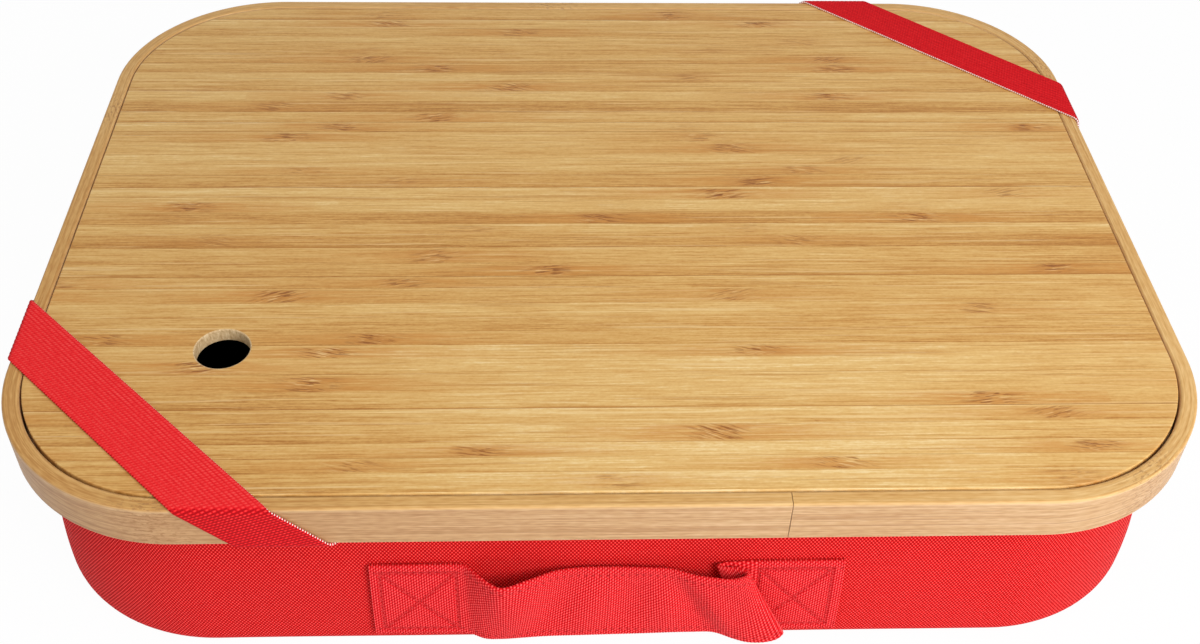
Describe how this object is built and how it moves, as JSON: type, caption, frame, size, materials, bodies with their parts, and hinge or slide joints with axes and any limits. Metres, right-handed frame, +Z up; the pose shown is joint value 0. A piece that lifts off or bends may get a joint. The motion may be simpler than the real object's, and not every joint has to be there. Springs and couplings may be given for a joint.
{
  "type": "lap desk",
  "caption": "Lap desk with a lift-out bamboo board in a bent bamboo rim, over a soft red storage tub with corner elastics and a webbing carry handle.",
  "frame": {"origin": "middle of the tub's flat underside, on the surface that the desk stands on", "axes": "+X to the user's right along the long side, +Y away from the user towards the back, +Z up"},
  "size_m": [0.4326, 0.3234, 0.0853],
  "materials": {
    "bamboo_board": "laminated bamboo strips, satin lacquer",
    "bamboo_rim": "bent bamboo, satin lacquer",
    "red_cloth": "woven polyester laminated on foam",
    "red_elastic": "ribbed woven elastic",
    "red_webbing": "twill polyester webbing",
    "black_lining": "plain black lining",
    "hardboard": "plain hardboard",
    "staple_steel": "bright wire"
  },
  "bodies": {
    "base": {"rim_band": "bamboo_rim", "ledge_ring": "bamboo_rim", "tub_shell": "red_cloth", "tub_lining": "black_lining", "base_stiffener": "hardboard", "front_strap": "red_elastic", "rear_strap": "red_elastic", "front_strap_staple_1": "staple_steel", "front_strap_staple_2": "staple_steel", "rear_strap_staple_1": "staple_steel", "rear_strap_staple_2": "staple_steel", "handle_left_end": "red_webbing", "handle_right_end": "red_webbing", "tub_staple_1": "staple_steel", "tub_staple_2": "staple_steel", "tub_staple_3": "staple_steel", "tub_staple_4": "staple_steel", "tub_staple_5": "staple_steel", "tub_staple_6": "staple_steel", "tub_staple_7": "staple_steel", "tub_staple_8": "staple_steel", "tub_staple_9": "staple_steel", "tub_staple_10": "staple_steel", "tub_staple_11": "staple_steel", "tub_staple_12": "staple_steel"},
    "lid": {"lid_board": "bamboo_board"},
    "handle": {"handle_loop": "red_webbing"}
  },
  "joints": [
    {"name": "lid_lift", "type": "slide", "parent": "base", "child": "lid", "axis": [0, 0, 1], "range_m": [0, 0.05], "deforming": ["front_strap", "rear_strap"]},
    {"name": "handle_pull", "type": "slide", "parent": "base", "child": "handle", "axis": [0, -1, 0], "range_m": [0, 0.02]}
  ]
}
